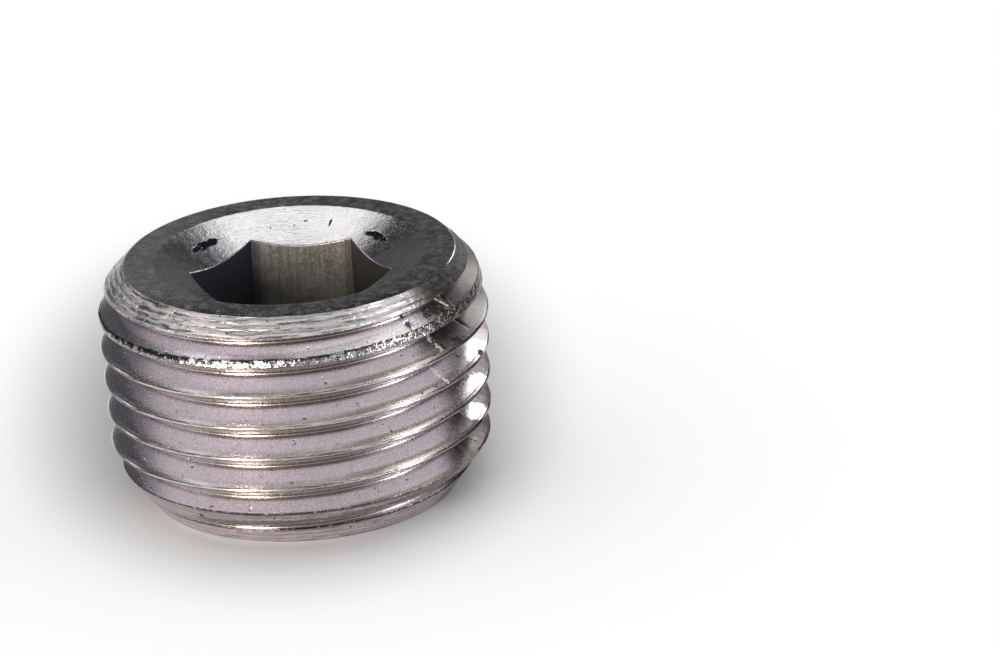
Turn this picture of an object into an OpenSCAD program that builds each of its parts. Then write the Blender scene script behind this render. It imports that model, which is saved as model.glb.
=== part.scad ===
// Taper pipe plug with a hexagon socket, 1/2-14 pipe thread, right-hand.
// The plug stands on its small end at z = 0, with its axis on Z and its socket open at the top.
// It is turned from one bar: a tapered thread, a chamfer at each end and a broached socket.

/* [Body] */
// Length from the small face to the large face
length = 13.4; // [12.5:0.1:18]
// Diameter of the flat face at the large end
large_face_d = 18.1; // [16.6:0.1:19.6]
// Diameter of the flat face at the small end
small_face_d = 16.9; // [15:0.1:18]
// Height of the chamfer at the large end
large_chamfer_h = 1.15; // [0.6:0.05:1.6]
// Angle of that chamfer, measured from the large face
large_chamfer_angle = 45; // [35:1:60]
// Angle from the axis of the cone below that chamfer, which trims the first crests
crest_trim_angle = 16; // [12:1:30]
// Angle of the chamfer at the small end, measured from its face
small_chamfer_angle = 54; // [35:1:60]

/* [Thread] */
// Diameter over the crests, in the plane of the large face
crest_d = 21.6; // [20.8:0.05:22.4]
// Number of threads to the inch
threads_per_inch = 14; // [11:0.5:20]
// Angle between the two flanks of a thread
thread_angle = 60; // [50:1:65]
// Width of the flat on each crest
crest_flat = 0.16; // [0.06:0.01:0.3]
// Width of the flat in each root
root_flat = 0.15; // [0.06:0.01:0.3]
// Length over which the diameter grows by one millimetre
taper_length = 16; // [12:0.5:30]
// Direction in which a crest would meet the plane of the large face
thread_start = 0; // [0:5:355]

/* [Socket] */
// Width across the flats of the hexagon
hex_af = 9.6; // [8.5:0.05:11]
// Depth of the hexagon, from the large face to the end of its flats
hex_depth = 7.9; // [5:0.1:9]
// Diameter of the countersink in the large face
countersink_d = 14.9; // [13:0.1:16]
// Angle between the countersink's opposite sides
countersink_angle = 126; // [100:1:140]
// How much narrower than the hexagon the hole was that was drilled before broaching
drill_under = 0.2; // [0.1:0.05:1]
// Length of drilled wall left below the hexagon, above the drill's point
drill_run = 0.9; // [0.4:0.1:1.6]
// Angle between the opposite sides of the drill's point
drill_angle = 118; // [110:1:140]

/* [Hidden] */

inch = 25.4;
pitch = inch / threads_per_inch;
thread_depth = (pitch - crest_flat - root_flat) / 2 / tan(thread_angle / 2);
steps_per_turn = 72;
round_fn = 180;
// How far a shape that cuts runs past what it cuts
clear = 0.2;

// One thread, upwards: height above the middle of its crest, and depth below the crest
thread_points = [
    [-crest_flat / 2, 0],
    [crest_flat / 2, 0],
    [(pitch - root_flat) / 2, thread_depth],
    [(pitch + root_flat) / 2, thread_depth]
];
points_per_turn = len(thread_points);
// Turns from the large face down to one that lies wholly below the small face
turns_below = ceil(length / pitch) + 2;
// Thread points one above another, with a turn more than the body at each end
rows = (turns_below + 2) * points_per_turn;

// Radius over the crests at height z
function crest_r(z) = (crest_d - (length - z) / taper_length) / 2;

// Point n of the thread, counted upwards, at a step round the plug
function thread_point(n, step) =
    let (
        shape = thread_points[n % points_per_turn],
        turn = floor(n / points_per_turn) - turns_below + step / steps_per_turn,
        z = length + pitch * turn + shape[0],
        r = crest_r(z) - shape[1],
        a = thread_start + 360 * step / steps_per_turn
    )
    [r * cos(a), r * sin(a), z];

// Point on the axis, level with a point of the thread
function axis_point(p) = [0, 0, p[2]];

// Tapered screw, as columns of thread points joined round the plug. After one turn the last
// column meets the first one a turn higher up. Its stepped ends lie clear of both faces.
module tapered_screw() {
    last_row = rows - 1;
    columns = [for (step = [0 : steps_per_turn - 1]) for (n = [0 : last_row]) thread_point(n, step)];
    // The first column goes on for one more turn, where the last column meets it
    first_column_end = [for (n = [rows : last_row + points_per_turn]) thread_point(n, 0)];
    bottom = len(columns) + points_per_turn;
    top = bottom + 1;
    points = concat(
        columns,
        first_column_end,
        [axis_point(thread_point(0, 0)), axis_point(thread_point(last_row, steps_per_turn))]
    );

    function first_column(n) = n < rows ? n : len(columns) + n - rows;
    function index(n, step) =
        step < steps_per_turn ? step * rows + n : first_column(n + points_per_turn);

    sides = [
        for (step = [0 : steps_per_turn - 1]) for (n = [0 : last_row - 1]) each [
            [index(n, step), index(n + 1, step), index(n + 1, step + 1)],
            [index(n, step), index(n + 1, step + 1), index(n, step + 1)]
        ]
    ];
    bottom_end = [for (step = [0 : steps_per_turn - 1]) [bottom, index(0, step), index(0, step + 1)]];
    bottom_step = [for (n = [0 : points_per_turn - 1]) [bottom, first_column(n + 1), first_column(n)]];
    top_end = [
        for (step = [0 : steps_per_turn - 1]) [top, index(last_row, step + 1), index(last_row, step)]
    ];
    top_step = [
        for (n = [last_row : last_row + points_per_turn - 1])
            [top, first_column(n), first_column(n + 1)]
    ];
    polyhedron(points = points, faces = concat(sides, bottom_end, bottom_step, top_end, top_step));
}

// The turned blank: two flat faces and the cones next to them, wider than the thread in between
module blank() {
    large_r = large_face_d / 2;
    small_r = small_face_d / 2;
    outer_r = crest_d / 2 + clear;
    chamfer_r = large_r + large_chamfer_h / tan(large_chamfer_angle);
    chamfer_z = length - large_chamfer_h;
    rotate_extrude($fn = round_fn)
        polygon([
            [0, 0],
            [small_r, 0],
            [outer_r, (outer_r - small_r) * tan(small_chamfer_angle)],
            [outer_r, chamfer_z - (outer_r - chamfer_r) / tan(crest_trim_angle)],
            [chamfer_r, chamfer_z],
            [large_r, length],
            [0, length]
        ]);
}

// What the drill, the broach and the countersink take out
module socket() {
    drill_r = hex_af / 2 - drill_under / 2;
    drill_end = length - hex_depth - drill_run;
    point_h = drill_r / tan(drill_angle / 2);
    countersink_r = countersink_d / 2 + clear * tan(countersink_angle / 2);
    countersink_h = countersink_r / tan(countersink_angle / 2);
    translate([0, 0, drill_end])
        cylinder(h = drill_run + hex_depth + clear, r = drill_r, $fn = round_fn);
    translate([0, 0, drill_end - point_h])
        cylinder(h = point_h, r1 = 0, r2 = drill_r, $fn = round_fn);
    translate([0, 0, length - hex_depth])
        cylinder(h = hex_depth + clear, d = hex_af / cos(30), $fn = 6);
    translate([0, 0, length + clear - countersink_h])
        cylinder(h = countersink_h, r1 = 0, r2 = countersink_r, $fn = round_fn);
}

module plug() {
    color("#9a939c")
        difference() {
            intersection() {
                tapered_screw();
                blank();
            }
            socket();
        }
}

plug();
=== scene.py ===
"""Looks of a taper pipe plug in bare steel: cut thread, chamfers, countersink and socket.

A Geometry Nodes tree makes the plug as one closed mesh, from the sizes of the solid it stands for.
Lengths are in metres outside the node trees and in millimetres inside them.
"""

import math

import bpy
from mathutils import Matrix, Vector


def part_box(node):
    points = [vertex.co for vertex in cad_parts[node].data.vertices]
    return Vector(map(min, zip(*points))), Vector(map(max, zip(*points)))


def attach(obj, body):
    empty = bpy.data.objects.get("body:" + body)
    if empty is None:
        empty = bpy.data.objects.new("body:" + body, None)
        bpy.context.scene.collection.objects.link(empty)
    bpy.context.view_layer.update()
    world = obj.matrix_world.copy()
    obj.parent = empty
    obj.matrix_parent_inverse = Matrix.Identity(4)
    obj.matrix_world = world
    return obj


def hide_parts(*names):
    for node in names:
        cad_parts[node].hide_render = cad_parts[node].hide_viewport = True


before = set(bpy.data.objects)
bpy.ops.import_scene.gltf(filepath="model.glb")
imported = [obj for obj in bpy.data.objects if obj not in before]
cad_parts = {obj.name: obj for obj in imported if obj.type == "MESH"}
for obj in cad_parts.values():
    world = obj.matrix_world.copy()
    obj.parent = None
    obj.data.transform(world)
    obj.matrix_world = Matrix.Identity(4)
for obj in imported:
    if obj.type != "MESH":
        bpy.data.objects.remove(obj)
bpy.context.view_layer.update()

bl_info = {
    "name": "Pipe Plug",
    "version": (1, 0, 0),
    "blender": (4, 5, 0),
    "location": "3D View > Sidebar > Pipe Plug",
    "description": "Builds a taper pipe plug with a cut thread and a hexagon socket, and its stage",
    "category": "Add Mesh",
}

MM = 0.001
PLUG_LOW, PLUG_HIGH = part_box("plug")
PLUG_LENGTH = PLUG_HIGH[2] - PLUG_LOW[2]

# Mesh density of the plug: columns round it, and rows in each turn of its thread
COLUMNS = 600
ROWS_A_TURN = 18
# How far the rows bunch up on the crests and in the roots, from 0 to 1
ROW_BUNCHING = 0.6
# Edges that turn by more than this stay sharp
SHARP_EDGE = math.radians(28)
# How deep below the crests and above the roots, in millimetres, their rounding begins
CREST_ROUNDING = 0.45
ROOT_ROUNDING = 0.20
# How far the rounded crests stand back out, in millimetres, to keep the crest diameter
CREST_LIFT = CREST_ROUNDING * 0.06
# Rounding where the turned blank cuts the thread, in millimetres
TRIM_ROUNDING = 0.035
# How far below the large face, in millimetres, the crests begin to be ragged and are fully so
RAGGED_FROM, RAGGED_FULL = 4.4, 3.0
# Share of the burr size on whole crests, and how much more there is on trimmed ones
WHOLE_RAGGED, TRIMMED_RAGGED = 0.45, 1.6
# Distances in millimetres from the middle of a crest and of a root that keep their rows in place
CREST_MARGIN, ROOT_MARGIN = 0.12, 0.1
# How far from the small face and from the large face, in millimetres, nicks and burrs fade away
FOOT_FADE, TOP_FADE = 0.4, 0.5
# Points closer than this are joined, in millimetres
MERGE_DISTANCE = 0.0008

# Nicks in the thread: angle round the plug in degrees, then in millimetres its height, half its
# length, half its width and its depth, and its tilt in degrees from level
NICKS = (
    (-24.0, 12.15, 0.70, 0.10, 0.16, 62.0),
    (-26.5, 12.35, 0.45, 0.09, 0.14, 118.0),
    (-29.0, 11.75, 0.55, 0.16, 0.16, 14.0),
    (-34.0, 11.10, 0.30, 0.16, 0.14, 24.0),
    (-21.0, 11.05, 0.40, 0.18, 0.16, 40.0),
    (-44.0, 11.85, 0.26, 0.20, 0.22, 0.0),
    (-16.0, 10.30, 0.35, 0.22, 0.12, 70.0),
    (-66.0, 5.35, 0.16, 0.14, 0.14, 0.0),
    (-119.0, 1.60, 0.22, 0.16, 0.16, 20.0),
    (-100.0, 2.40, 0.12, 0.10, 0.12, 0.0),
    (35.0, 8.60, 0.40, 0.16, 0.12, 15.0),
    (118.0, 6.40, 0.30, 0.14, 0.12, -20.0),
    (190.0, 10.60, 0.45, 0.12, 0.12, 30.0),
)


def number_of(name, description, default, **rest):
    return bpy.props.FloatProperty(name=name, description=description, default=default, **rest)


def size_of(name, description, millimetres):
    return number_of(name, description, millimetres * MM, unit="LENGTH")


def angle_of(name, description, degrees):
    return number_of(name, description, math.radians(degrees), unit="ROTATION")


def colour_of(name, description, default):
    return bpy.props.FloatVectorProperty(
        name=name, description=description, subtype="COLOR", size=3, min=0, max=1, default=default)


class PlugSizes(bpy.types.PropertyGroup):
    """Sizes of the plug. They repeat those of the solid, so a change here goes with one there."""

    length: size_of("Length", "From the small face to the large face", PLUG_LENGTH / MM)
    large_face: size_of("Large face", "Diameter of the flat face round the socket", 18.1)
    small_face: size_of("Small face", "Diameter of the flat face that the plug stands on", 16.9)
    chamfer_height: size_of("Chamfer height", "Height of the chamfer at the large face", 1.15)
    chamfer_angle: angle_of("Chamfer angle", "Angle of that chamfer from the large face", 45)
    trim_angle: angle_of(
        "Crest trim angle", "Angle from the axis of the cone that trims the crests", 16)
    small_chamfer_angle: angle_of(
        "Small chamfer angle", "Angle of the lower chamfer from the small face", 54)
    crest: size_of("Crest diameter", "Diameter over the crests, level with the large face", 21.6)
    pitch: size_of("Pitch", "Height of one turn of the thread", 25.4 / 14)
    thread_angle: angle_of("Thread angle", "Angle between the two flanks of the thread", 60)
    crest_flat: size_of("Crest flat", "Width of the flat on each crest", 0.16)
    root_flat: size_of("Root flat", "Width of the flat in each root", 0.15)
    taper: number_of("Taper", "Growth of the diameter for each unit of height", 1 / 16)
    hexagon: size_of("Hexagon", "Width across the flats of the socket", 9.6)
    hexagon_depth: size_of("Hexagon depth", "Depth of the flats from the large face", 7.9)
    countersink: size_of("Countersink", "Diameter of the dish in the large face", 14.9)
    countersink_angle: angle_of(
        "Countersink angle", "Angle between opposite sides of the dish", 126)
    drill: size_of("Drill", "Diameter of the drilled hole below the hexagon", 9.4)
    drill_run: size_of("Drilled wall", "Height of the drilled wall below the hexagon", 0.9)
    drill_angle: angle_of(
        "Drill point angle", "Angle between opposite sides of the drill's point", 118)
    edge: size_of("Edge rounding", "Size of the worn rounding on the turned edges", 0.05)
    burr: size_of("Burrs", "How far the trimmed crests are ragged", 0.05)


class PlugFinish(bpy.types.PropertyGroup):
    """Colours and gloss of the steel."""

    thread_colour: colour_of("Thread", "Colour of the cut thread", (0.70, 0.645, 0.70))
    face_colour: colour_of("Faces", "Colour of the turned faces", (0.62, 0.60, 0.61))
    socket_colour: colour_of("Socket", "Colour of the broached socket", (0.36, 0.34, 0.31))
    dirt_colour: colour_of("Dirt", "Colour of the dark specks and pits", (0.035, 0.028, 0.022))
    brass_colour: colour_of(
        "Brass specks", "Colour of the warm specks on the first threads", (0.80, 0.70, 0.46))
    roughness: number_of(
        "Roughness", "Roughness of the thread", 0.22, min=0, max=1, subtype="FACTOR")


class PlugStage(bpy.types.PropertyGroup):
    """The floor, the lights and the camera."""

    floor_colour: colour_of("Floor", "Colour of the floor", (0.86, 0.87, 0.865))
    shade: number_of(
        "Shade", "Darkness of the soft shade on the floor round the plug", 0.6, min=0, max=1)
    overhead: number_of(
        "Overhead light", "Power of the softbox above the plug's back, in watts", 0.25, min=0)
    room_light: number_of("Room light", "Strength of the even light on the floor", 1.18, min=0)
    mirrored_room: number_of(
        "Mirrored room", "Strength of the surroundings that the steel mirrors", 0.11, min=0)
    front_wall: number_of(
        "Front wall", "Strength of the bright wall behind the camera", 0.9, min=0)
    lens: number_of("Lens", "Focal length of the camera in millimetres", 252.0, min=1)


class Term:
    """An output in a node tree. An expression on terms adds its Math nodes to the tree."""

    def __init__(self, sheet, socket):
        self.sheet, self.socket = sheet, socket

    def __add__(self, other):
        return self.sheet.math("ADD", self, other)

    def __radd__(self, other):
        return self.sheet.math("ADD", other, self)

    def __sub__(self, other):
        return self.sheet.math("SUBTRACT", self, other)

    def __rsub__(self, other):
        return self.sheet.math("SUBTRACT", other, self)

    def __mul__(self, other):
        return self.sheet.math("MULTIPLY", self, other)

    def __rmul__(self, other):
        return self.sheet.math("MULTIPLY", other, self)

    def __truediv__(self, other):
        return self.sheet.math("DIVIDE", self, other)

    def __rtruediv__(self, other):
        return self.sheet.math("DIVIDE", other, self)

    def __neg__(self):
        return self.sheet.math("MULTIPLY", self, -1.0)

    def __abs__(self):
        return self.sheet.math("ABSOLUTE", self)

    def __lt__(self, other):
        return self.sheet.math("LESS_THAN", self, other)

    def __gt__(self, other):
        return self.sheet.math("GREATER_THAN", self, other)


class Sheet:
    """A node tree that is drawn in code."""

    def __init__(self, tree):
        self.tree = tree

    def make(self, kind, settings=None, sockets=None, output=0):
        """Adds a node, sets it up, fills its sockets and returns one of its outputs."""
        node = self.tree.nodes.new(kind)
        for name, value in (settings or {}).items():
            setattr(node, name, value)
        for key, value in (sockets or {}).items():
            if isinstance(value, Term):
                self.tree.links.new(value.socket, node.inputs[key])
            else:
                node.inputs[key].default_value = value
        return Term(self, node.outputs[output])

    def whole(self, number):
        """A whole number as a term."""
        return self.make("FunctionNodeInputInt", {"integer": number})

    def math(self, operation, *values):
        return self.make("ShaderNodeMath", {"operation": operation}, dict(enumerate(values)))

    def cos(self, angle):
        return self.math("COSINE", angle)

    def sin(self, angle):
        return self.math("SINE", angle)

    def tan(self, angle):
        return self.math("TANGENT", angle)

    def wrapped(self, angle):
        """The same angle, at most half a turn to either side."""
        return self.math("WRAP", angle, math.pi, -math.pi)

    def least(self, a, b):
        return self.math("MINIMUM", a, b)

    def most(self, a, b):
        return self.math("MAXIMUM", a, b)

    def soft_least(self, a, b, reach):
        return self.math("SMOOTH_MIN", a, b, reach)

    def soft_most(self, a, b, reach):
        return self.math("SMOOTH_MAX", a, b, reach)

    def vector(self, x, y, z):
        return self.make("ShaderNodeCombineXYZ", None, {0: x, 1: y, 2: z})

    def split(self, vector):
        parts = self.make("ShaderNodeSeparateXYZ", None, {0: vector})
        return [Term(self, out) for out in parts.socket.node.outputs]

    def scaled(self, vector, by):
        return self.make("ShaderNodeVectorMath", {"operation": "SCALE"}, {0: vector, "Scale": by})

    def noise(self, vector, scale, detail, roughness):
        """Noise from 0 to 1, mostly near a half."""
        return self.make("ShaderNodeTexNoise", None, {
            "Vector": vector, "Scale": scale, "Detail": detail, "Roughness": roughness})

    def ease(self, value, start, end, low=0.0, high=1.0):
        """Runs smoothly from low to high while the value runs from start to end."""
        return self.make("ShaderNodeMapRange", {"interpolation_type": "SMOOTHSTEP"}, {
            "Value": value, "From Min": start, "From Max": end, "To Min": low, "To Max": high})

    def fall(self, value, start, end):
        """Runs smoothly from 1 to 0 while the value runs from start to end."""
        return self.ease(value, start, end, 1.0, 0.0)

    def band(self, value, rise, fall):
        """Rises from 0 to 1 over one pair of values, and falls back over another pair."""
        return self.ease(value, *rise) * self.fall(value, *fall)

    def between(self, share, a, b):
        """A number from a, at share 0, to b, at share 1."""
        return self.make("ShaderNodeMix", {"data_type": "FLOAT"}, {0: share, 2: a, 3: b})

    def blend(self, share, a, b):
        """A colour from a, at share 0, to b, at share 1."""
        a, b = [(*c, 1.0) if isinstance(c, tuple) else c for c in (a, b)]
        return self.make(
            "ShaderNodeMix", {"data_type": "RGBA"}, {0: share, 6: a, 7: b}, output=2)

    def layers(self, number, layers):
        """A number after layers, each a share and the number that it brings in."""
        for share, other in layers:
            number = self.between(share, number, other)
        return number

    def coats(self, colour, coats):
        """A colour under coats, each a share and the colour that it brings in."""
        for share, other in coats:
            colour = self.blend(share, colour, other)
        return colour


# Geometry of the plug

TREE_LENGTHS = (
    "length", "large_face", "small_face", "chamfer_height", "crest", "pitch", "crest_flat",
    "root_flat", "hexagon", "hexagon_depth", "countersink", "drill", "drill_run", "edge", "burr",
)
TREE_ANGLES = (
    "chamfer_angle", "trim_angle", "small_chamfer_angle", "thread_angle", "countersink_angle",
    "drill_angle",
)
TREE_FACTORS = ("taper",)


def open_tree(name):
    """A Geometry Nodes tree with an input for each size, and those inputs as terms."""
    tree = bpy.data.node_groups.new(name, "GeometryNodeTree")
    tree.interface.new_socket("Geometry", in_out="OUTPUT", socket_type="NodeSocketGeometry")
    for size in TREE_LENGTHS + TREE_ANGLES + TREE_FACTORS:
        tree.interface.new_socket(size, in_out="INPUT", socket_type="NodeSocketFloat")
    tree.interface.new_socket("turns", in_out="INPUT", socket_type="NodeSocketInt")
    sheet = Sheet(tree)
    group = tree.nodes.new("NodeGroupInput")
    terms = {out.name: Term(sheet, out) for out in group.outputs if out.name}
    return tree, sheet, terms


def grid_sheet(sheet, rows, columns):
    """A flat grid, with each point's row and column as terms."""
    rows = rows if isinstance(rows, Term) else sheet.whole(rows)
    grid = sheet.make("GeometryNodeMeshGrid", None, {
        "Size X": rows, "Size Y": float(columns), "Vertices X": rows + 1,
        "Vertices Y": columns + 1})
    across, along, _ = sheet.split(sheet.make("GeometryNodeInputPosition"))
    row = sheet.math("ROUND", across + rows / 2)
    column = sheet.math("ROUND", along + columns / 2)
    return grid, row, column


def place_round(sheet, radius, angle, height):
    """The place at a radius, angle and height round the axis."""
    return sheet.vector(radius * sheet.cos(angle), radius * sheet.sin(angle), height)


def wrap(sheet, grid, radius, angle, height):
    """Moves a grid's points to a radius, angle and height round the axis."""
    place = place_round(sheet, radius, angle, height)
    return sheet.make("GeometryNodeSetPosition", None, {"Geometry": grid, "Position": place})


def wrap_profile(sheet, grid, row, angle, profile):
    """Turns a profile round the axis. It has a radius and a height for each row of points."""
    radius, height = [pick(sheet, row, [point[n] for point in profile]) for n in (0, 1)]
    return wrap(sheet, grid, radius, angle, height)


def keep_field(sheet, geometry, name, value):
    """Stores a number at each point, for the materials to read."""
    return sheet.make(
        "GeometryNodeStoreNamedAttribute", {"data_type": "FLOAT", "domain": "POINT"},
        {"Geometry": geometry, "Name": name, "Value": value})


def ellipse(away, above, half_length, half_width, tilt=0.0):
    """1 in the middle of an ellipse tilted by degrees, 0 on its line and less outside it."""
    cos, sin = math.cos(math.radians(tilt)), math.sin(math.radians(tilt))
    lengthwise = (away * cos + above * sin) / half_length
    crosswise = (above * cos - away * sin) / half_width
    return 1.0 - lengthwise * lengthwise - crosswise * crosswise


def nick_depth(sheet, angle, height, arm):
    """Depth at each point of all the nicks in the thread."""
    total = 0.0
    for degrees, level, half_length, half_width, depth, tilt in NICKS:
        away = sheet.wrapped(angle - math.radians(degrees)) * arm
        inside = ellipse(away, height - level, half_length, half_width, tilt)
        total = total + sheet.most(inside, 0.0) * depth
    return total


def thread_grid(sheet, size):
    """The outside from the small face's edge to the large face's: the thread and both chamfers."""
    tan = sheet.tan
    rows = size["turns"] * ROWS_A_TURN
    grid, row, column = grid_sheet(sheet, rows, COLUMNS)
    share = column / COLUMNS
    angle = share * math.tau
    length, pitch, edge = size["length"], size["pitch"], size["edge"]

    # Height of each point on its helix, counted in turns from the lowest crest. The rows bunch up
    # twice in a turn.
    plain = row / ROWS_A_TURN
    bunches = 4 * math.pi
    turn = plain - sheet.sin(plain * bunches) * (ROW_BUNCHING / bunches)
    height = length + pitch * (turn + share - size["turns"])
    off_crest = (turn - sheet.math("ROUND", turn)) * pitch
    row_gap = pitch / ROWS_A_TURN * (1.0 - sheet.cos(plain * bunches) * ROW_BUNCHING)

    # Ragged crests where the turned cone trims them, and slight wear on the others
    arm = size["crest"] / 2
    trimmed = sheet.ease(height, length - RAGGED_FROM, length - RAGGED_FULL)
    waves = sheet.noise(place_round(sheet, arm, angle, height), 1.9, 3.0, 0.6) - 0.5
    ragged = waves * size["burr"] * (WHOLE_RAGGED + TRIMMED_RAGGED * trimmed)
    steepness = 1.0 / tan(size["thread_angle"] / 2)
    depth = (pitch - size["crest_flat"] - size["root_flat"]) / 2 * steepness

    def thread_radius(level, off):
        slope = (abs(off) - size["crest_flat"] / 2) * steepness
        rounded = sheet.soft_most(slope, 0.0, CREST_ROUNDING) - CREST_LIFT
        cut = sheet.soft_least(rounded, depth, ROOT_ROUNDING)
        return arm - (length - level) * size["taper"] / 2 - cut, cut

    lower_run = 1.0 / tan(size["small_chamfer_angle"])
    upper_run = 1.0 / tan(size["chamfer_angle"])
    trim_run = tan(size["trim_angle"])

    def blank_radius(level):
        lower = size["small_face"] / 2 + level * lower_run
        upper = size["large_face"] / 2 + (length - level) * upper_run
        corner = size["large_face"] / 2 + size["chamfer_height"] * upper_run
        trim = corner + (length - size["chamfer_height"] - level) * trim_run
        return sheet.least(lower, sheet.least(upper, trim)), lower, upper, trim

    # A point near the line where the blank cuts the thread moves on to that line
    own, _ = thread_radius(height, off_crest)
    turned, lower, upper, trim = blank_radius(height)
    over = own - turned - ragged
    side = sheet.math("SIGN", off_crest)
    thread_slope = size["taper"] / 2 - side * steepness
    in_lower = (lower < upper) * (lower < trim)
    in_upper = (1.0 - in_lower) * (upper < trim)
    blank_slope = in_lower * lower_run - in_upper * upper_run - (
        1.0 - in_lower - in_upper) * trim_run
    shift = over / (blank_slope - thread_slope)
    on_flank = (abs(off_crest) > CREST_MARGIN) * (abs(off_crest) < pitch / 2 - ROOT_MARGIN)
    shift = shift * on_flank * (abs(shift) < row_gap / 2)
    height = height + shift
    off_crest = off_crest + shift
    own, cut = thread_radius(height, off_crest)

    low_end, high_end = edge * 0.8, length - edge
    level = sheet.least(sheet.most(height, low_end), high_end)
    turned, *_ = blank_radius(level)
    inside = sheet.band(level, (low_end, FOOT_FADE), (length - TOP_FADE, high_end))
    turned = turned + ragged * inside
    scar = nick_depth(sheet, angle, level, arm) * inside
    radius = sheet.soft_least(own, turned, TRIM_ROUNDING * inside) - scar
    # The fields go in before the points move, because rows and columns are read from the places
    fields = {"cut": cut, "scar": scar, "beyond": own - turned,
              "underside": 1.0 - (off_crest > 0.0)}
    for name, value in fields.items():
        grid = keep_field(sheet, grid, name, value)
    return wrap(sheet, grid, radius, angle, level)


def face_grid(sheet, size):
    """The large face's ring, the countersink and the socket down to the drill's point."""
    tan = sheet.tan
    length, edge = size["length"], size["edge"]
    large, dish = size["large_face"] / 2, size["countersink"] / 2
    fall = 1.0 / tan(size["countersink_angle"] / 2)
    floor = length - size["hexagon_depth"]
    drill = size["drill"] / 2
    drill_end = floor - size["drill_run"]
    # A row of faces between each two points of the profile below
    grid, row, column = grid_sheet(sheet, 25, COLUMNS)
    angle = column / COLUMNS * math.tau
    from_flat = sheet.math("WRAP", angle - math.radians(30), math.radians(30), math.radians(-30))
    # The outer edge is worn lower on the side towards the camera
    worn = edge * 0.9 * sheet.ease(sheet.cos(angle + math.radians(82)), 0.1, 0.8)
    flat = size["hexagon"] / 2 / sheet.cos(from_flat)

    def on_dish(radius):
        return radius, length - (dish - radius) * fall

    ring = large - edge * 1.41
    rim = dish - edge * 0.9
    brink = flat + edge
    wall_top = length - (dish - flat) * fall - edge
    profile = [
        (large + edge / tan(size["chamfer_angle"]), length - edge),
        (large - edge * 0.11, length - edge * 0.26 - worn * 0.7),
        (ring, length - worn),
        (ring - 0.12, length - worn * 0.6),
        (ring - 0.36, length),
        (dish + edge + 0.08, length),
        (dish + edge, length),
        (dish, length - edge * 0.1),
        on_dish(rim),
        on_dish(rim - 0.08),
        on_dish(sheet.between(0.33, rim, brink)),
        on_dish(sheet.between(0.66, rim, brink)),
        on_dish(brink + 0.06),
        on_dish(brink),
        (flat + edge * 0.25, wall_top + edge * 0.6),
        (flat, wall_top),
        (flat, wall_top - 0.1),
        (flat, sheet.between(0.33, wall_top, floor)),
        (flat, sheet.between(0.66, wall_top, floor)),
        (flat, floor + 0.05),
        (flat, floor),
        (drill, floor),
        (drill, drill_end),
        (drill * 0.5, drill_end - drill * 0.5 / tan(size["drill_angle"] / 2)),
        (drill * 0.02, drill_end - drill * 0.98 / tan(size["drill_angle"] / 2)),
        (0.0, drill_end - drill / tan(size["drill_angle"] / 2)),
    ]
    return wrap_profile(sheet, grid, row, angle, profile)


def foot_grid(sheet, size):
    """The small face with its rounded edge."""
    edge, small = size["edge"], size["small_face"] / 2
    grid, row, column = grid_sheet(sheet, 5, COLUMNS)
    angle = column / COLUMNS * math.tau
    run = 1.0 / sheet.tan(size["small_chamfer_angle"])
    profile = [
        (0.0, 0.0),
        (small * 0.5, 0.0),
        (small - edge - 0.1, 0.0),
        (small - edge, 0.0),
        (small - edge * 0.1, edge * 0.22),
        (small + edge * 0.8 * run, edge * 0.8),
    ]
    return wrap_profile(sheet, grid, row, angle, profile)


def pick(sheet, row, values):
    """The value that stands at each row's place in a list."""
    node = sheet.tree.nodes.new("GeometryNodeIndexSwitch")
    node.data_type = "FLOAT"
    while len(node.index_switch_items) < len(values):
        node.index_switch_items.new()
    sheet.tree.links.new(row.socket, node.inputs["Index"])
    for n, value in enumerate(values):
        if isinstance(value, Term):
            sheet.tree.links.new(value.socket, node.inputs[n + 1])
        else:
            node.inputs[n + 1].default_value = value
    return Term(sheet, node.outputs[0])


def plug_tree(thread_steel, face_steel, socket_steel):
    """The tree that makes the whole plug."""
    tree, sheet, size = open_tree("Plug body")

    def skinned(mesh, steel, **where):
        return sheet.make(
            "GeometryNodeSetMaterial", None, {"Geometry": mesh, "Material": steel, **where})

    thread, face, foot = [
        skinned(sheet.make("GeometryNodeFlipFaces", None, {"Mesh": make(sheet, size)}), steel)
        for make, steel in (
            (thread_grid, thread_steel), (face_grid, face_steel), (foot_grid, face_steel))]
    # The socket's steel covers its upright walls and all that lies below the hexagon
    *_, rise = sheet.split(sheet.make("GeometryNodeInputNormal"))
    *_, height = sheet.split(sheet.make("GeometryNodeInputPosition"))
    brink = size["length"] - (size["countersink"] - size["hexagon"]) / 2 * 0.3
    upright = (rise < 0.4) * (height < brink)
    deep = height < size["length"] - size["hexagon_depth"] + 0.01
    face = skinned(face, socket_steel, Selection=sheet.most(upright, deep))
    join = tree.nodes.new("GeometryNodeJoinGeometry")
    for part in (foot, face, thread):
        tree.links.new(part.socket, join.inputs[0])
    whole = sheet.make("GeometryNodeMergeByDistance", None, {
        "Geometry": Term(sheet, join.outputs[0]), "Distance": MERGE_DISTANCE})
    turn = sheet.make("GeometryNodeInputMeshEdgeAngle")
    whole = sheet.make("GeometryNodeSetShadeSmooth", {"domain": "EDGE"}, {
        "Geometry": whole, "Selection": turn > SHARP_EDGE, "Shade Smooth": False})
    metres = sheet.make("GeometryNodeTransform", None, {
        "Geometry": whole, "Scale": (MM, MM, MM)})
    real = sheet.make("GeometryNodeRealizeInstances", None, {"Geometry": metres})
    out = tree.nodes.new("NodeGroupOutput")
    tree.links.new(real.socket, out.inputs[0])
    return tree


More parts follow.
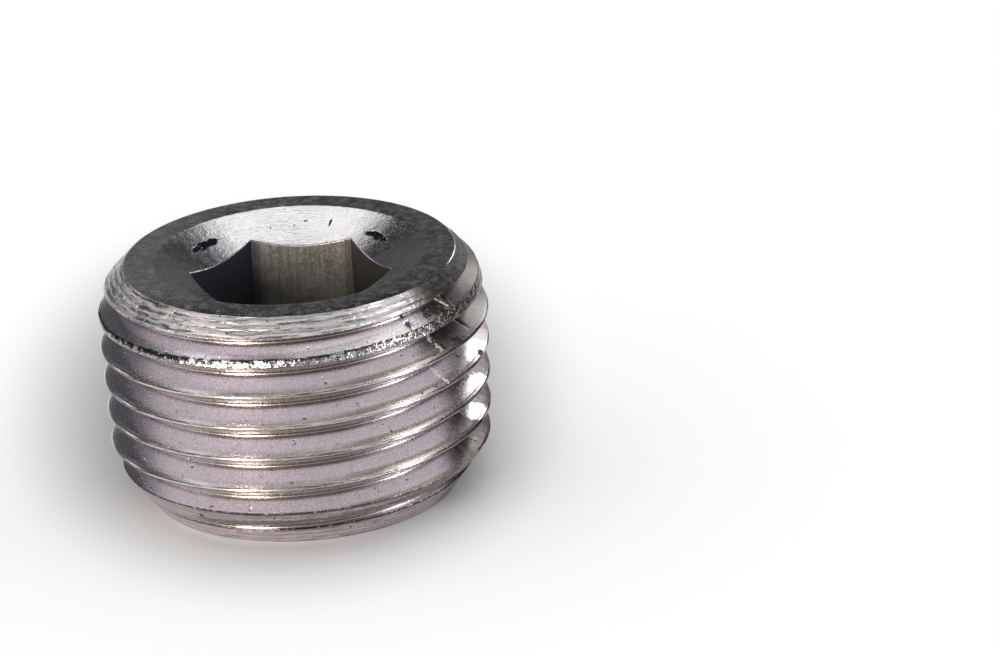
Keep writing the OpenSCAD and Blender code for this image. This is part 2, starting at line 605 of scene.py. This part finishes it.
def tree_to_mesh(tree, sizes, name):
    """Runs the tree on the sizes, and returns its result as a plain object at the origin."""
    holder = bpy.data.objects.new(name + "_maker", bpy.data.meshes.new(name + "_maker"))
    bpy.context.scene.collection.objects.link(holder)
    modifier = holder.modifiers.new("Make", "NODES")
    modifier.node_group = tree
    for item in tree.interface.items_tree:
        if item.in_out != "INPUT":
            continue
        if item.name == "turns":
            modifier[item.identifier] = math.ceil(sizes.length / sizes.pitch) + 1
        elif item.name in TREE_LENGTHS:
            modifier[item.identifier] = getattr(sizes, item.name) / MM
        else:
            modifier[item.identifier] = getattr(sizes, item.name)
    graph = bpy.context.evaluated_depsgraph_get()
    mesh = bpy.data.meshes.new_from_object(holder.evaluated_get(graph))
    bpy.data.objects.remove(holder)
    if not mesh.polygons:
        raise RuntimeError(f"the tree {tree.name} made no faces")
    for empty in reversed([i for i, slot in enumerate(mesh.materials) if slot is None]):
        mesh.materials.pop(index=empty)
    mesh.name = name
    piece = bpy.data.objects.new(name, mesh)
    bpy.context.scene.collection.objects.link(piece)
    return piece


# Materials

BLACK, WHITE = (0.0, 0.0, 0.0), (1.0, 1.0, 1.0)

# Gaps in the painted shade at the right, where the steel keeps its own colour: direction in
# degrees, then in millimetres the height, half the length and half the width, and the tilt in
# degrees from level
SHADE_GAPS = (
    (-9.5, 8.20, 1.60, 0.45, -5.0),
    (-13.5, 6.25, 2.00, 0.50, 0.0),
    (-9.5, 4.60, 1.30, 0.50, -15.0),
)
# Dark blotches in the same way, and burrs with painted highlights; the first, low on the chamfer,
# is a painted highlight
BLOTCHES = (
    (-32.0, 12.02, 0.95, 0.22, 4.0),
    (-24.2, 9.86, 0.62, 0.20, 0.0),
    (-31.5, 10.00, 0.15, 0.14, 0.0),
    (-44.5, 12.26, 0.11, 0.14, 0.0),
    (-9.2, 8.08, 0.35, 0.14, 0.0),
)
LIT_BURRS = (
    (-101.0, 0.95, 1.30, 0.16, 0.0),
    (-33.0, 10.15, 0.30, 0.20, 80.0),
    (-32.1, 8.24, 0.34, 0.15, -80.0),
    (-27.2, 12.28, 0.50, 0.09, -56.0),
)
# Dents in the countersink: direction in degrees, then in millimetres the distance from the axis,
# half the length and half the width
DISH_DENTS = (
    (147.0, 6.15, 1.30, 0.27),
    (44.0, 6.10, 1.10, 0.25),
    (76.0, 6.35, 0.07, 0.25),
)
# Distance between the tool's ridges on the chamfer, in millimetres of height
RIDGE_SPACING = 0.29

# Directions round the plug in degrees, each with the angles from it where a finish or a painted
# shade has faded away and where it is full
FRONT = (-88.0, 35.0, 18.0)
FAR_LEFT_SHADE = (-172.0, 38.0, 22.0)
BROWN_SHADE_LINES = (-70.0, 50.0, 30.0)
DARKEST_SHADE_LINES = (-46.0, 28.0, 12.0)
FOOT_LINE = (-66.0, 62.0, 46.0)
BURNISHED = (-60.0, 29.5, 18.2)
BRASS_SPECKS = (-38.0, 16.0, 8.0)
RIGHT_SHADE = (4.0, 28.0, 20.0)
UPPER_RIGHT_SHADE = (8.0, 50.0, 36.0)
LOW_RIGHT_SHADE = (6.0, 38.0, 22.0)
CHAMFER_SHADE = (10.0, 50.0, 38.0)
RIM_SHADOW = (-79.0, 56.6, 25.8)
SHADED_LEFT_FLAT = (149.0, 36.9, 28.4)
SHADED_RIGHT_FLAT = (30.0, 36.9, 28.4)

# Depths below the crests in millimetres, between which a finish or a painted shade fades in or out
CREST_ENDS = (0.05, 0.16)
ROOT_BEGINS = (1.05, 1.22)
UNDERSIDE_SHADE_BAND = (0.05, 0.10), (0.20, 0.32)
BROWN_SHADE_BAND = (0.10, 0.18), (0.34, 0.50)
# Heights in millimetres, used in the same way
CHAMFER_BEGINS = (PLUG_LENGTH / MM - 1.5, PLUG_LENGTH / MM - 1.2)
TRIMMED_BEGINS = (8.0, 9.0)
BURNISHED_BEGINS = (9.9, 10.3)
HIGH_BEGINS = (9.2, 10.2)
LOW_RIGHT_SHADE_ENDS = (6.5, 8.5)
LOWEST_ENDS = (3.0, 3.4)
LOWEST_LIP_ENDS = (2.3, 2.7)
DENTS_BEGIN = (12.0, 12.1)
# Distances from the axis in millimetres, used in the same way
FLAT_RING_BEGINS = (7.3, 7.5)
RIM_BEGINS = (8.72, 8.98)


def open_material(name):
    material = bpy.data.materials.new(name)
    material.use_nodes = True
    material.node_tree.nodes.clear()
    return material, Sheet(material.node_tree)


def show_shader(sheet, shader, kind="ShaderNodeOutputMaterial"):
    """Ends a material's or the world's tree with a shader."""
    out = sheet.tree.nodes.new(kind)
    sheet.tree.links.new(shader.socket, out.inputs["Surface"])


def close_material(sheet, colour, roughness, bumps, metallic=1.0):
    """Ends a tree as steel. Bumps are heights from 0 to 1 with their distances in millimetres."""
    shader = {"Base Color": colour, "Roughness": roughness, "Metallic": metallic}
    under = {}
    for height, distance in bumps:
        under["Normal"] = sheet.make("ShaderNodeBump", None, {
            "Height": height, "Strength": 1.0, "Distance": distance * MM, **under})
    show_shader(sheet, sheet.make("ShaderNodeBsdfPrincipled", None, {**shader, **under}))


def surface_place(sheet):
    """The point in millimetres, its direction's cosine, sine and angle, its radius and height."""
    place = sheet.scaled(sheet.make("ShaderNodeTexCoord", output="Object"), 1 / MM)
    x, y, z = sheet.split(place)
    radius = sheet.math("SQRT", x * x + y * y)
    safe = sheet.most(radius, 0.01)
    cos, sin = x / safe, y / safe
    return place, cos, sin, sheet.math("ARCTAN2", sin, cos), radius, z


def toward(sheet, angle, degrees, start, full):
    """Full round one direction, and nothing beyond an angle from it."""
    return sheet.ease(
        sheet.cos(angle - math.radians(degrees)),
        math.cos(math.radians(start)), math.cos(math.radians(full)))


def toned(colour, by):
    """A colour made lighter or darker."""
    return tuple(min(1.0, part * by) for part in colour)


def thread_steel(finish):
    """Cut thread and turned chamfers: lines along the cut, grain, pits and bright worn edges, with
    painted shade on the undersides, in the roots and at the sides, and burrs with painted
    highlights.
    """
    material, sheet = open_material("Threaded steel")
    place, cos, sin, angle, radius, z = surface_place(sheet)
    cut, beyond, underside, scar = [
        sheet.make("ShaderNodeAttribute", {"attribute_name": name}, output="Fac")
        for name in ("cut", "beyond", "underside", "scar")]
    ease, fall, most = sheet.ease, sheet.fall, sheet.most

    def drawn(times, height, detail, roughness):
        """Noise drawn out round the axis: the fewer its times, the longer its lines."""
        return sheet.noise(sheet.vector(cos * times, sin * times, height), 1.0, detail, roughness)

    def patch(direction):
        return toward(sheet, angle, *direction)

    def marks(table, ragged):
        """Ragged ellipses on the thread: degrees round it, height, half length and width, tilt."""
        marked = 0.0
        for degrees, level, half_length, half_width, tilt in table:
            away = sheet.wrapped(angle - math.radians(degrees)) * radius
            inside = ellipse(away, z - level, half_length, half_width, tilt) + ragged
            marked = most(marked, ease(inside, 0.0, 0.35))
        return marked

    # Patterns: grain everywhere, lines along the cut, chatter across it, and clouds of stain
    grain = sheet.noise(place, 8.0, 3.0, 0.7)
    coarse = sheet.noise(place, 2.2, 3.0, 0.6)
    cloud = sheet.noise(place, 0.55, 2.0, 0.5)
    torn = sheet.noise(place, 3.1, 2.0, 0.6)
    pits = ease(sheet.noise(place, 3.6, 1.0, 0.5), 0.72, 0.78)
    lines = drawn(5.0, radius * 9.0 - z * 6.0, 3.0, 0.6)
    chatter = drawn(95.0, z * 0.7, 2.0, 0.6)
    streaks = drawn(8.0, z * 11.0, 3.0, 0.6)
    wander = drawn(3.0, z, 2.0, 0.5)
    ridge = sheet.sin((PLUG_LENGTH / MM - z) * (math.tau / RIDGE_SPACING) + wander * 5.0)
    mottle = ease(streaks, 0.42, 0.60)
    off_grain = grain - 0.5

    # Where each finish lies: beyond is how far a point of the thread stood past the turned blank
    turned = ease(beyond, -0.02, 0.06)
    unturned, upper = 1.0 - turned, 1.0 - underside
    crest = 1.0 - ease(cut + off_grain * 0.10, *CREST_ENDS)
    root = ease(cut + off_grain * 0.1, *ROOT_BEGINS)
    chamfer = turned * ease(z, *CHAMFER_BEGINS)
    lowest = turned * fall(z, *LOWEST_ENDS)
    trimmed = turned * ease(z, *TRIMMED_BEGINS) * (1.0 - chamfer)
    grooved = fall(ridge + (streaks - 0.5) * 2.0, -0.7, 0.1) * most(chamfer, lowest)
    lip = fall(abs(beyond - 0.05), 0.06, 0.17) * upper
    lip_ends = most(ease(z, *TRIMMED_BEGINS), fall(z, *LOWEST_LIP_ENDS))
    foot_line = fall(abs(beyond + (torn - 0.5) * 0.5 - 0.18), 0.10, 0.24)
    burnished = ease(beyond, -0.75, -0.35) * unturned * upper * ease(
        z, *BURNISHED_BEGINS) * patch(BURNISHED)
    under = underside * unturned
    # Painted shade in a band just below each crest, over the mirrored softbox, darkest towards the
    # right of the front
    brown_shade = sheet.band(cut, *BROWN_SHADE_BAND) * upper * patch(BROWN_SHADE_LINES) * (
        ease(torn, 0.3, 0.6, 0.1, 0.3) + patch(DARKEST_SHADE_LINES) * 0.55)

    # Damage, and painted shade at the right
    high = ease(z, *HIGH_BEGINS)
    # Painted shade on the upper threads at the right
    upper_right_shade = high * patch(UPPER_RIGHT_SHADE)
    bruise = marks(BLOTCHES, (torn - 0.5) * 5.0 + off_grain * 3.0)
    burr = marks(LIT_BURRS, (torn - 0.5) * 6.0 + off_grain * 4.0)
    # Where the painted shade at the right is left out
    shade_gap = marks(SHADE_GAPS, (coarse - 0.5) * 2.2)
    brass = high * patch(BRASS_SPECKS) * most(lip, crest * unturned) * ease(torn, 0.50, 0.62)
    # Painted shade over the right side, mottled, and lower down at the right
    right_shade = most(patch(RIGHT_SHADE) * 0.8, upper_right_shade * ease(coarse, 0.30, 0.60)) * (1.0 - shade_gap)
    low_right_shade = patch(LOW_RIGHT_SHADE) * fall(z, *LOW_RIGHT_SHADE_ENDS) * ease(coarse, 0.30, 0.55, 0.5, 0.9)
    # Painted shade on the chamfer at the right
    dull = chamfer * patch(CHAMFER_SHADE)

    bright = tuple(finish.thread_colour)
    colour = sheet.blend(ease(cloud, 0.35, 0.65) * 0.3, bright, toned(bright, 0.9))
    colour = sheet.blend(
        ease(grain, 0.32, 0.68) * 0.7 + ease(chatter, 0.3, 0.7) * 0.3,
        sheet.blend(0.10, colour, BLACK), toned(bright, 1.12))
    colour = sheet.coats(colour, (
        # The flanks: painted shade on the undersides, faint all round and a dark band at the front,
        # then painted shade at the far left and in lines below the crests
        (under * 0.3, (0.66, 0.60, 0.52)),
        (under * sheet.band(cut, *UNDERSIDE_SHADE_BAND) * patch(FRONT) * ease(
            streaks, 0.25, 0.55, 0.55, 0.95), (0.24, 0.185, 0.14)),
        # Painted shade on the flanks at the far left
        (patch(FAR_LEFT_SHADE) * unturned * (1.0 - crest) * 0.5, (0.20, 0.20, 0.24)),
        (brown_shade * unturned, (0.32, 0.26, 0.20)),
        (crest * 0.7, (0.82, 0.75, 0.67)),
        # The chamfers, with streaks and with dirt between their ridges
        (turned * 0.8, tuple(finish.face_colour)),
        (chamfer * 0.6, (0.86, 0.82, 0.83)),
        (lowest * 0.8, (0.86, 0.76, 0.81)),
        (lowest * ease(streaks + off_grain * 0.5 + (z - 1.2) * 0.06, 0.46, 0.56) * 0.5,
         (0.26, 0.20, 0.18)),
        (chamfer * mottle * 0.22, (0.28, 0.25, 0.24)),
        (grooved * 0.32, (0.16, 0.13, 0.12)),
        (lowest * foot_line * patch(FOOT_LINE) * 0.7, (0.15, 0.105, 0.095)),
        # Painted shade in the roots, strongest at the front, over some dirt, and dirt along the
        # trimmed crests, below the burnished band
        (root * patch(FRONT) * 0.5 + root * 0.3, (0.20, 0.165, 0.135)),
        (trimmed * ease(torn + off_grain * 0.9, 0.46, 0.56) * 0.85, (0.12, 0.10, 0.09)),
        (lip * ease(torn + off_grain * 0.5, 0.39, 0.47) * lip_ends, (0.04, 0.035, 0.03)),
        (burnished, (0.97, 0.94, 0.97)),
        # Painted shade at the right, high up, low down and on the chamfer, then blotches, brass
        # specks, burrs with painted highlights, pits and nicks
        (right_shade * ease(torn, 0.3, 0.6, 0.55, 0.85), (0.24, 0.21, 0.18)),
        (upper_right_shade * 0.75, (0.07, 0.064, 0.058)),
        (low_right_shade * (1.0 - shade_gap), (0.13, 0.11, 0.10)),
        (dull * 0.9, sheet.blend(
            ease(coarse + off_grain, 0.30, 0.70), (0.12, 0.115, 0.105), (0.03, 0.029, 0.027))),
        (bruise * 0.9, (0.03, 0.027, 0.03)),
        (brass * 0.7, tuple(finish.brass_colour)),
        (burr * 0.9, sheet.blend(ease(grain, 0.42, 0.56), (0.38, 0.29, 0.19), (1.0, 0.96, 0.86))),
        (most(pits * 0.9, ease(scar, 0.05, 0.11) * 0.85), tuple(finish.dirt_colour)),
    ))
    roughness = sheet.layers(finish.roughness, (
        (ease(grain, 0.3, 0.7), finish.roughness + 0.08),
        (right_shade, 0.36),
        (crest, 0.16),
        (turned, 0.22),
        (chamfer, sheet.between(mottle, 0.20, 0.50)),
        (most(pits, most(bruise, dull)), 0.6),
        (burr, 0.3),
    ))
    # Ridges left round the chamfer, beads torn along the trimmed crests, and the fine patterns.
    # A burr, pale with its painted highlight, is less metallic and scatters light.
    close_material(sheet, colour, roughness, (
        (ridge * (chamfer + lowest) * 0.5, 0.020),
        (torn * (chamfer * 0.10 + trimmed + lowest * 0.7), 0.12),
        (lines * (crest * 3.0 + 1.0), 0.004),
        (grain + chatter * 0.4, 0.003),
        (coarse, 0.006),
        (1.0 - pits, 0.03),
    ), 1.0 - burr * 0.7)
    return material


def face_steel(finish):
    """Faced ring, countersink and foot: rings left by the tool, with stains, specks and dents, and
    painted shade and light.
    """
    material, sheet = open_material("Turned steel")
    place, cos, sin, angle, radius, z = surface_place(sheet)
    x, y, _ = sheet.split(place)
    ease = sheet.ease
    rings = sheet.noise(sheet.vector(cos * 2.0, sin * 2.0, radius * 11.0), 1.0, 3.0, 0.6)
    grain = sheet.noise(place, 8.0, 3.0, 0.6)
    cloud = sheet.noise(place, 0.7, 3.0, 0.6)
    mottle = sheet.noise(place, 2.2, 3.0, 0.65)
    specks = ease(sheet.noise(place, 3.0, 2.0, 0.6), 0.68, 0.74)

    # Dents in the countersink, with ragged edges
    dent = 0.0
    for degrees, reach, half_length, half_width in DISH_DENTS:
        away = sheet.wrapped(angle - math.radians(degrees)) * reach
        inside = ellipse(away, radius - reach, half_length, half_width) + (mottle - 0.5) * 2.8
        dent = sheet.most(dent, ease(inside, 0.0, 0.5))
    dent = dent * ease(z, *DENTS_BEGIN)

    bright = tuple(finish.face_colour)
    flat = ease(radius, *FLAT_RING_BEGINS)
    stain = ease(cloud + (grain - 0.5) * 0.5, 0.40, 0.62)
    ragged = mottle + (grain - 0.5) * 0.6
    rim = ease(radius, *RIM_BEGINS) * toward(sheet, angle, *RIM_SHADOW)
    colour = sheet.coats(bright, (
        (ease(cloud, 0.3, 0.7) * 0.5, toned(bright, 0.78)),
        (ease(mottle, 0.35, 0.7) * 0.3, (0.70, 0.69, 0.72)),
        # The flat ring: stains, pale and dark mottling, then painted shade that grows towards the
        # right and the front over the whole face, and painted light on the ring's left side
        (flat * stain * 0.65, (0.30, 0.29, 0.26)),
        (flat * ease(ragged, 0.50, 0.66) * 0.6, WHITE),
        (flat * ease(ragged, 0.48, 0.34) * 0.6, (0.13, 0.13, 0.12)),
        (ease(x - y * 0.5, -8.0, 8.0) * 0.35, (0.30, 0.29, 0.28)),
        (flat * ease(-x, 2.0, 8.0) * 0.7, (0.95, 0.93, 0.94)),
        (rim * 0.7, (0.10, 0.09, 0.085)),
        (specks * 0.8, tuple(finish.dirt_colour)),
        (dent * (1.0 - ease(grain, 0.64, 0.70)), (0.008, 0.009, 0.014)),
    ))
    roughness = sheet.between(ease(grain + (mottle - 0.5), 0.3, 0.7), 0.14, 0.26)
    roughness = sheet.between(sheet.most(specks, dent), roughness, 0.6)
    close_material(sheet, colour, roughness, (
        (rings, 0.008), (mottle * 0.5 + cloud, 0.025), (grain, 0.010), (1.0 - dent, 0.06)))
    return material


def socket_steel(finish):
    """Broached hexagon and drilled hole: dull, with lines drawn down by the broach, a painted
    highlight along each corner and painted shade on two flats.
    """
    material, sheet = open_material("Broached steel")
    place, _, _, angle, radius, z = surface_place(sheet)
    x, y, _ = sheet.split(place)
    ease = sheet.ease
    drawn = sheet.noise(sheet.vector(x, y, z * 0.06), 7.0, 3.0, 0.6)
    grain = sheet.noise(place, 7.0, 3.0, 0.6)
    cloud = sheet.noise(place, 0.6, 2.0, 0.5)
    corner = sheet.math("PINGPONG", angle + math.tau, math.radians(30))
    worn = sheet.fall(corner * radius, 0.02, 0.14)
    steel = tuple(finish.socket_colour)
    colour = sheet.coats(toned(steel, 0.8), (
        (ease(cloud, 0.3, 0.7) * 0.6, toned(steel, 0.55)),
        (ease(drawn, 0.35, 0.65) * 0.35, toned(steel, 1.35)),
        # Painted highlight: a pale line down each corner of the hexagon
        (worn * 0.6, (0.62, 0.60, 0.55)),
        # Painted shade on the left and the right flats
        (toward(sheet, angle, *SHADED_LEFT_FLAT) * 0.9, (0.07, 0.08, 0.11)),
        (toward(sheet, angle, *SHADED_RIGHT_FLAT) * 0.8, (0.09, 0.086, 0.076)),
    ))
    roughness = sheet.between(ease(grain, 0.3, 0.7), 0.38, 0.5)
    close_material(sheet, colour, roughness, ((drawn, 0.012), (grain, 0.010)))
    return material


class MESH_OT_pipe_plug(bpy.types.Operator):
    """Make the plug's body: thread, chamfers, face, countersink and socket"""

    bl_idname = "mesh.pipe_plug"
    bl_label = "Make Plug Body"

    def execute(self, context):
        sizes, finish = context.scene.plug_sizes, context.scene.plug_finish
        tree = plug_tree(thread_steel(finish), face_steel(finish), socket_steel(finish))
        body = tree_to_mesh(tree, sizes, "plug_body")
        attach(body, "root")
        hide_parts("plug")
        return {"FINISHED"}


# Stage

# The camera as the photograph was taken: its distance from the middle of the large face, its
# height above the horizon and its direction round the plug, and how it is aimed and rolled
CAMERA_DISTANCE = 0.382
CAMERA_ELEVATION = math.radians(20.908)
CAMERA_AZIMUTH = math.radians(8.3)
CAMERA_YAW = math.radians(1.804)
CAMERA_PITCH = math.radians(21.629)
CAMERA_ROLL = math.radians(-3.606)

# The shade on the floor, in millimetres: its middle right of the plug and behind it, and its reach
SHADE_CENTRE = (-0.8, 14.0)
SHADE_REACH = (16.5, 31.0)
# Where the floor darkens at the left, in millimetres right of the plug
LEFT_SHADE = (-20.0, -48.0)

# Corners of the pale table, in metres right of the plug and behind it. It ends close to the left
# of the picture and below it, so that the thread mirrors darkness there.
TABLE_CORNERS = (
    (-0.060, -0.031), (0.056, -0.031), (0.056, 0.12), (1.5, 4.0), (-1.5, 4.0), (-1.5, 0.3))

# Softboxes beside the overhead one: direction, with 0 at the camera's side and 90 at its right,
# elevation, distance, width and depth, power in watts, colour, and whether it looks straight down
# and not at the plug. Angles are in degrees and lengths in metres.
LIGHTS = (
    ("Front top softbox", 0.0, 68.3, 0.324, (0.36, 0.10), 0.088, WHITE, True),
    ("Right softbox", 90.0, 54.0, 0.30, (0.16, 0.10), 0.120, WHITE, False),
    ("Left softbox", -92.0, 54.0, 0.30, (0.14, 0.09), 0.046, WHITE, False),
    ("Left card", -128.0, 20.0, 0.30, (0.08, 0.06), 0.014, WHITE, False),
    ("Back right card", 128.0, 22.6, 0.0283, (0.0080, 0.011), 0.00085, WHITE, False),
    ("Front left key", -38.0, 14.0, 0.30, (0.022, 0.10), 1.35, (1.0, 0.93, 0.82), False),
    ("Right key", 62.0, 14.0, 0.30, (0.020, 0.10), 0.20, WHITE, False),
)


def from_camera(x, y):
    """How far to the right and how far away a place lies, as the camera sees it."""
    cos, sin = math.cos(CAMERA_AZIMUTH), math.sin(CAMERA_AZIMUTH)
    return x * cos + y * sin, y * cos - x * sin


def set_camera(stage):
    """The camera at the photograph's viewing angle."""
    data = bpy.data.cameras.new("Camera")
    data.sensor_width = 36.0
    data.lens = stage.lens
    data.clip_start = 0.01
    data.clip_end = 50.0
    camera = bpy.data.objects.new("Camera", data)
    bpy.context.scene.collection.objects.link(camera)
    yaw, pitch, roll = CAMERA_YAW, CAMERA_PITCH, CAMERA_ROLL
    place = Vector((
        0.0, -CAMERA_DISTANCE * math.cos(CAMERA_ELEVATION),
        CAMERA_DISTANCE * math.sin(CAMERA_ELEVATION)))
    ahead = Vector((
        math.cos(pitch) * math.sin(yaw), math.cos(pitch) * math.cos(yaw), -math.sin(pitch)))
    right = Vector((math.cos(yaw), -math.sin(yaw), 0.0))
    up = right.cross(ahead)
    rolled_right = math.cos(roll) * right + math.sin(roll) * up
    rolled_up = -math.sin(roll) * right + math.cos(roll) * up
    turn = Matrix.Rotation(CAMERA_AZIMUTH, 3, "Z")
    axes = [turn @ v for v in (rolled_right, rolled_up, -ahead)]
    spot = turn @ place + Vector((0.0, 0.0, PLUG_HIGH[2]))
    camera.matrix_world = Matrix([
        [*(axis[n] for axis in axes), spot[n]] for n in range(3)] + [[0.0, 0.0, 0.0, 1.0]])
    bpy.context.scene.camera = camera


def add_light(name, azimuth, elevation, distance, size, power, colour, level):
    """A softbox that looks at the plug, or straight down if it is level."""
    data = bpy.data.lights.new(name, "AREA")
    data.shape = "RECTANGLE"
    data.size, data.size_y = size
    data.energy = power
    data.color = colour
    lamp = bpy.data.objects.new(name, data)
    a = math.radians(azimuth) + CAMERA_AZIMUTH
    e = math.radians(elevation)
    toward_light = Vector((math.sin(a) * math.cos(e), -math.cos(a) * math.cos(e), math.sin(e)))
    lamp.location = Vector((0.0, 0.0, PLUG_LENGTH / 2)) + toward_light * distance
    if level:
        lamp.rotation_euler = (0.0, 0.0, CAMERA_AZIMUTH)
    else:
        lamp.rotation_mode = "QUATERNION"
        lamp.rotation_quaternion = toward_light.to_track_quat("Z", "Y")
    lamp.visible_camera = False
    lamp.visible_diffuse = False
    bpy.context.scene.collection.objects.link(lamp)


def set_floor(stage):
    """A plain pale floor under the plug, with soft shade round it."""
    material, sheet = open_material("Pale floor")
    x, y, _ = sheet.split(sheet.scaled(sheet.make("ShaderNodeTexCoord", output="Object"), 1 / MM))
    right, away = from_camera(x, y)
    across = (right - SHADE_CENTRE[0]) / SHADE_REACH[0]
    along = (away - SHADE_CENTRE[1]) / SHADE_REACH[1]
    apart = sheet.math("SQRT", across * across + along * along)
    colour = sheet.coats(tuple(stage.floor_colour), (
        (sheet.ease(apart, 0.5, 1.08, stage.shade, 0.0), BLACK),
        (sheet.ease(right, *LEFT_SHADE, 0.0, 0.5), BLACK),
    ))
    show_shader(sheet, sheet.make("ShaderNodeBsdfPrincipled", None, {
        "Base Color": colour, "Roughness": 0.9, "Specular IOR Level": 0.1}))
    cos, sin = math.cos(CAMERA_AZIMUTH), math.sin(CAMERA_AZIMUTH)
    corners = [
        (right * cos - away * sin, right * sin + away * cos, 0.0)
        for right, away in TABLE_CORNERS]
    mesh = bpy.data.meshes.new("floor")
    mesh.from_pydata(corners, [], [tuple(range(len(corners)))])
    mesh.materials.append(material)
    floor = bpy.data.objects.new("floor", mesh)
    bpy.context.scene.collection.objects.link(floor)


def set_world(stage):
    """Even light on the floor, and dim surroundings for the steel to mirror between the lights."""
    world = bpy.data.worlds.new("Studio")
    world.use_nodes = True
    world.node_tree.nodes.clear()
    sheet = Sheet(world.node_tree)
    mirrored = sheet.make("ShaderNodeLightPath", output="Is Glossy Ray")
    even = sheet.make("ShaderNodeBackground", None, {
        "Color": (*WHITE, 1.0), "Strength": stage.room_light})
    # Each direction as a unit vector: to the right, away from the camera and up
    x, y, rise = sheet.split(sheet.make("ShaderNodeTexCoord", output="Generated"))
    right, away = from_camera(x, y)
    around = sheet.math("ARCTAN2", right, -away)
    strength = sheet.layers(stage.mirrored_room, (
        # Darker at the left and above the front wall
        (sheet.ease(-right, 0.5, 0.9), 0.06),
        (sheet.ease(rise, 0.40, 0.52), 0.03),
        # Brighter high up behind the plug, overhead, and low in front, where the table ends
        (sheet.ease(rise, 0.62, 0.74) * sheet.ease(away, 0.2, 0.5), 0.20),
        (sheet.ease(rise, 0.95, 0.98), 0.30),
        (sheet.fall(rise, -0.05, 0.0) * sheet.ease(-away, 0.3, 0.6), 0.35),
        # The bright wall, between two directions round the plug and two heights
        (sheet.band(around, (-1.95, -1.80), (1.15, 1.45)) * sheet.band(
            rise, (0.05, 0.12), (0.42, 0.50)), stage.front_wall),
    ))
    surroundings = sheet.make("ShaderNodeBackground", None, {
        "Color": (0.92, 0.96, 1.0, 1.0), "Strength": strength})
    mix = sheet.make("ShaderNodeMixShader", None, {0: mirrored, 1: even, 2: surroundings})
    show_shader(sheet, mix, "ShaderNodeOutputWorld")
    bpy.context.scene.world = world


class SCENE_OT_pipe_plug_stage(bpy.types.Operator):
    """Set the floor, the studio lights and the camera"""

    bl_idname = "scene.pipe_plug_stage"
    bl_label = "Set Stage"

    def execute(self, context):
        stage = context.scene.plug_stage
        set_floor(stage)
        set_world(stage)
        add_light("Back softbox", -171.2, 63.5, 0.336, (0.29, 0.175), stage.overhead, WHITE, True)
        for light in LIGHTS:
            add_light(*light)
        set_camera(stage)
        context.scene.view_settings.view_transform = "Standard"
        return {"FINISHED"}


class VIEW3D_PT_pipe_plug(bpy.types.Panel):
    """Sizes, finish and stage of the pipe plug"""

    bl_idname = "VIEW3D_PT_pipe_plug"
    bl_label = "Pipe Plug"
    bl_space_type = "VIEW_3D"
    bl_region_type = "UI"
    bl_category = "Pipe Plug"

    def draw(self, context):
        for group in (context.scene.plug_sizes, context.scene.plug_finish,
                      context.scene.plug_stage):
            column = self.layout.column(align=True)
            for name in group.__annotations__:
                column.prop(group, name)
        self.layout.operator(MESH_OT_pipe_plug.bl_idname)
        self.layout.operator(SCENE_OT_pipe_plug_stage.bl_idname)


CLASSES = (
    PlugSizes, PlugFinish, PlugStage, MESH_OT_pipe_plug, SCENE_OT_pipe_plug_stage,
    VIEW3D_PT_pipe_plug,
)


def register():
    for each in CLASSES:
        bpy.utils.register_class(each)
    bpy.types.Scene.plug_sizes = bpy.props.PointerProperty(type=PlugSizes)
    bpy.types.Scene.plug_finish = bpy.props.PointerProperty(type=PlugFinish)
    bpy.types.Scene.plug_stage = bpy.props.PointerProperty(type=PlugStage)


def unregister():
    del bpy.types.Scene.plug_sizes, bpy.types.Scene.plug_finish, bpy.types.Scene.plug_stage
    for each in reversed(CLASSES):
        bpy.utils.unregister_class(each)


def main():
    register()
    bpy.ops.mesh.pipe_plug()
    bpy.ops.scene.pipe_plug_stage()


if __name__ == "__main__":
    main()
